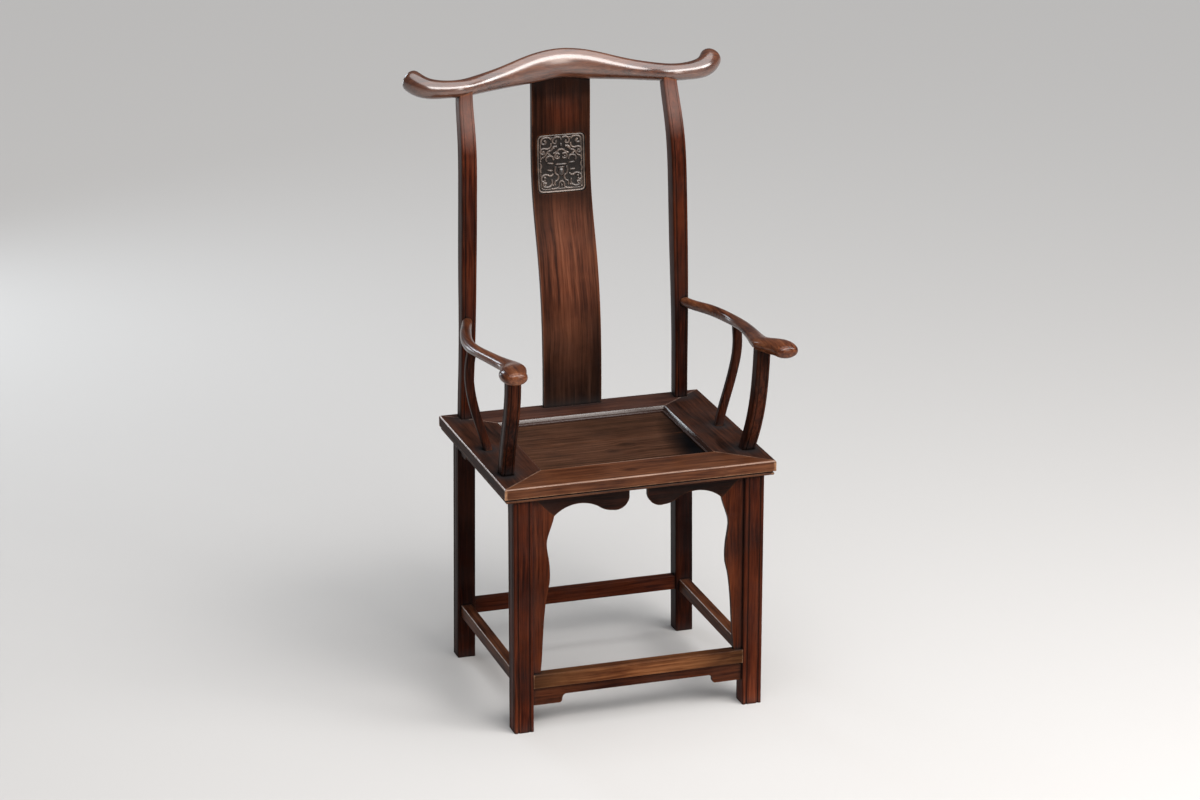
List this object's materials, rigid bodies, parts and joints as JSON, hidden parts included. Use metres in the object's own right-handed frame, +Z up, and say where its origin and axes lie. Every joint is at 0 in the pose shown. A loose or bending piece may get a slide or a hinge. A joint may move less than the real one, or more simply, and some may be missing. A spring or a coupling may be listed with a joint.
{
  "type": "yoke-back armchair",
  "caption": "Lacquered hardwood armchair with a yoke crest rail, a curved back splat with a carved medallion, sinuous arms and a footrest stretcher.",
  "frame": {"origin": "on the floor, midway between the sides and midway between the arms' front ends and the back of the crest rail", "axes": "+X to the right as seen from the front, +Y to the back, +Z up; the front faces -Y"},
  "size_m": [0.6456, 0.5949, 1.2051],
  "materials": {
    "frame_wood": "satin",
    "splat_wood": "satin",
    "panel_wood": "satin",
    "footrest_wood": "worn satin",
    "hidden_wood": "matt"
  },
  "bodies": {
    "root": {"crest_rail": "frame_wood", "back_splat": "splat_wood", "rear_leg_left": "frame_wood", "rear_leg_right": "frame_wood", "arm_left": "frame_wood", "arm_right": "frame_wood", "front_arm_post_left": "frame_wood", "front_arm_post_right": "frame_wood", "side_arm_post_left": "frame_wood", "side_arm_post_right": "frame_wood", "seat_rail_front": "frame_wood", "seat_rail_back": "frame_wood", "seat_rail_left": "frame_wood", "seat_rail_right": "frame_wood", "seat_board_front": "panel_wood", "seat_board_back": "panel_wood", "seat_brace_left": "hidden_wood", "seat_brace_right": "hidden_wood", "front_leg_left": "frame_wood", "front_leg_right": "frame_wood", "front_stretcher": "footrest_wood", "rear_stretcher": "frame_wood", "side_stretcher_left": "frame_wood", "side_stretcher_right": "frame_wood", "front_apron_left": "frame_wood", "front_apron_right": "frame_wood", "front_side_apron_left": "frame_wood", "front_side_apron_right": "frame_wood", "front_stretcher_apron": "frame_wood", "rear_apron": "frame_wood", "side_apron_left": "frame_wood", "side_apron_right": "frame_wood"}
  },
  "joints": []
}
